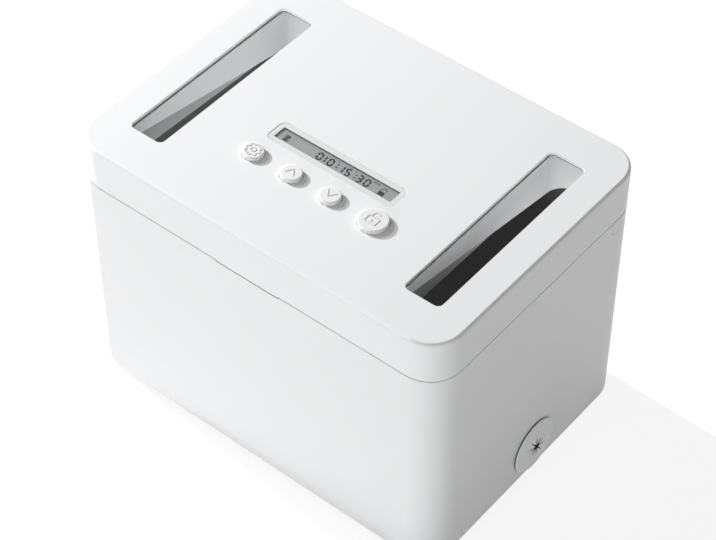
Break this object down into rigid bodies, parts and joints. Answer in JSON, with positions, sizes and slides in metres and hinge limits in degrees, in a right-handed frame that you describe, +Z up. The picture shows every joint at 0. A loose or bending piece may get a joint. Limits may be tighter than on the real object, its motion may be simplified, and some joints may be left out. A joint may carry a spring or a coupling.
{
  "type": "timed lock container",
  "caption": "White box with a hinged lid that a motor-driven bolt holds shut until a timer set on its display and buttons runs out, with windows and a cable port.",
  "frame": {"origin": "middle of the case's footprint, on the surface that the feet stand on", "axes": "+X to the right side, -Y to the front with the buttons, +Z up"},
  "size_m": [0.2223, 0.158, 0.1574],
  "materials": {
    "white_shell": "satin moulded plastic, lightly textured",
    "white_trim": "satin moulded plastic",
    "black_tub": "dark fine-textured plastic",
    "grey_liner": "grey satin plastic",
    "light_rubber": "soft pale rubber",
    "dark_rubber": "dark rubber",
    "steel": "brushed steel",
    "zinc_screw": "bright zinc plate",
    "clear_pane": "clear acrylic",
    "display_glass": "grey display cell",
    "button_white": "smooth satin plastic",
    "board_green": "green solder mask",
    "black_plastic": "dark plastic",
    "ivory_plastic": "natural nylon",
    "contact_rubber": "pink and black layered rubber",
    "light_guide": "milky plastic",
    "motor_metal": "plain metal can",
    "gear_plastic": "natural acetal",
    "battery_jacket": "printed film over a steel can, here plain",
    "spring_metal": "nickel plate"
  },
  "bodies": {
    "base": {"base_shell": "white_shell", "inner_tub": "black_tub", "hinge_cap_left": "white_shell", "hinge_cap_right": "white_shell", "hinge_pin_left": "steel", "hinge_pin_right": "steel", "hinge_cap_screws": "zinc_screw", "strike_plate": "steel", "strike_screws": "zinc_screw", "cable_grommet": "light_rubber", "foot_front_left": "dark_rubber", "foot_front_right": "dark_rubber", "foot_rear_left": "dark_rubber", "foot_rear_right": "dark_rubber", "tub_screws": "zinc_screw"},
    "lid": {"lid_shell": "white_shell", "lid_liner": "grey_liner", "window_pane_left": "clear_pane", "window_pane_right": "clear_pane", "window_frame_left": "white_trim", "window_frame_right": "white_trim", "frame_screws": "zinc_screw", "liner_screws": "zinc_screw", "display_bezel": "white_trim", "display_lens": "clear_pane", "lcd_cell": "display_glass", "backlight": "light_guide", "lcd_holder": "white_trim", "contact_strips": "contact_rubber", "circuit_board": "board_green", "board_screws": "zinc_screw", "buzzer": "black_plastic", "settings_switch": "black_plastic", "up_switch": "black_plastic", "down_switch": "black_plastic", "lock_switch": "black_plastic", "latch_housing": "white_trim", "housing_screws": "zinc_screw", "gear_motor": "motor_metal", "motor_strap": "steel", "strap_screws": "zinc_screw", "battery_front": "battery_jacket", "battery_middle": "battery_jacket", "battery_rear": "battery_jacket", "battery_contacts": "spring_metal"},
    "settings_key": {"settings_button": "button_white", "settings_plunger": "ivory_plastic"},
    "up_key": {"up_button": "button_white", "up_plunger": "ivory_plastic"},
    "down_key": {"down_button": "button_white", "down_plunger": "ivory_plastic"},
    "lock_key": {"lock_button": "button_white", "lock_plunger": "ivory_plastic"},
    "bolt": {"latch_bolt": "steel"},
    "drive": {"motor_shaft": "steel", "pinion": "gear_plastic"},
    "battery_cover": {"battery_door": "grey_liner"}
  },
  "joints": [
    {"name": "lid_hinge", "type": "hinge", "parent": "base", "child": "lid", "pos_m": [0, 0.075, 0.127], "axis": [-1, 0, 0], "range_deg": [0, 95]},
    {"name": "bolt_slide", "type": "slide", "parent": "lid", "child": "bolt", "axis": [0, -1, 0], "range_m": [0, 0.004]},
    {"name": "drive_spin", "type": "hinge", "parent": "lid", "child": "drive", "pos_m": [0, -0.058, 0.1431], "axis": [-1, 0, 0], "range_deg": [0, 54.57]},
    {"name": "settings_press", "type": "slide", "parent": "lid", "child": "settings_key", "axis": [0, 0, -1], "range_m": [0, 0.0008], "stiffness_N_per_m": 300},
    {"name": "up_press", "type": "slide", "parent": "lid", "child": "up_key", "axis": [0, 0, -1], "range_m": [0, 0.0008], "stiffness_N_per_m": 300},
    {"name": "down_press", "type": "slide", "parent": "lid", "child": "down_key", "axis": [0, 0, -1], "range_m": [0, 0.0008], "stiffness_N_per_m": 300},
    {"name": "lock_press", "type": "slide", "parent": "lid", "child": "lock_key", "axis": [0, 0, -1], "range_m": [0, 0.0008], "stiffness_N_per_m": 300},
    {"name": "battery_cover_lift", "type": "slide", "parent": "lid", "child": "battery_cover", "axis": [0, 0, -1], "range_m": [0, 0.03]}
  ],
  "couplings": [
    {"joint": "drive_spin", "follows": "bolt_slide", "rad_per_m": 238.09}
  ]
}
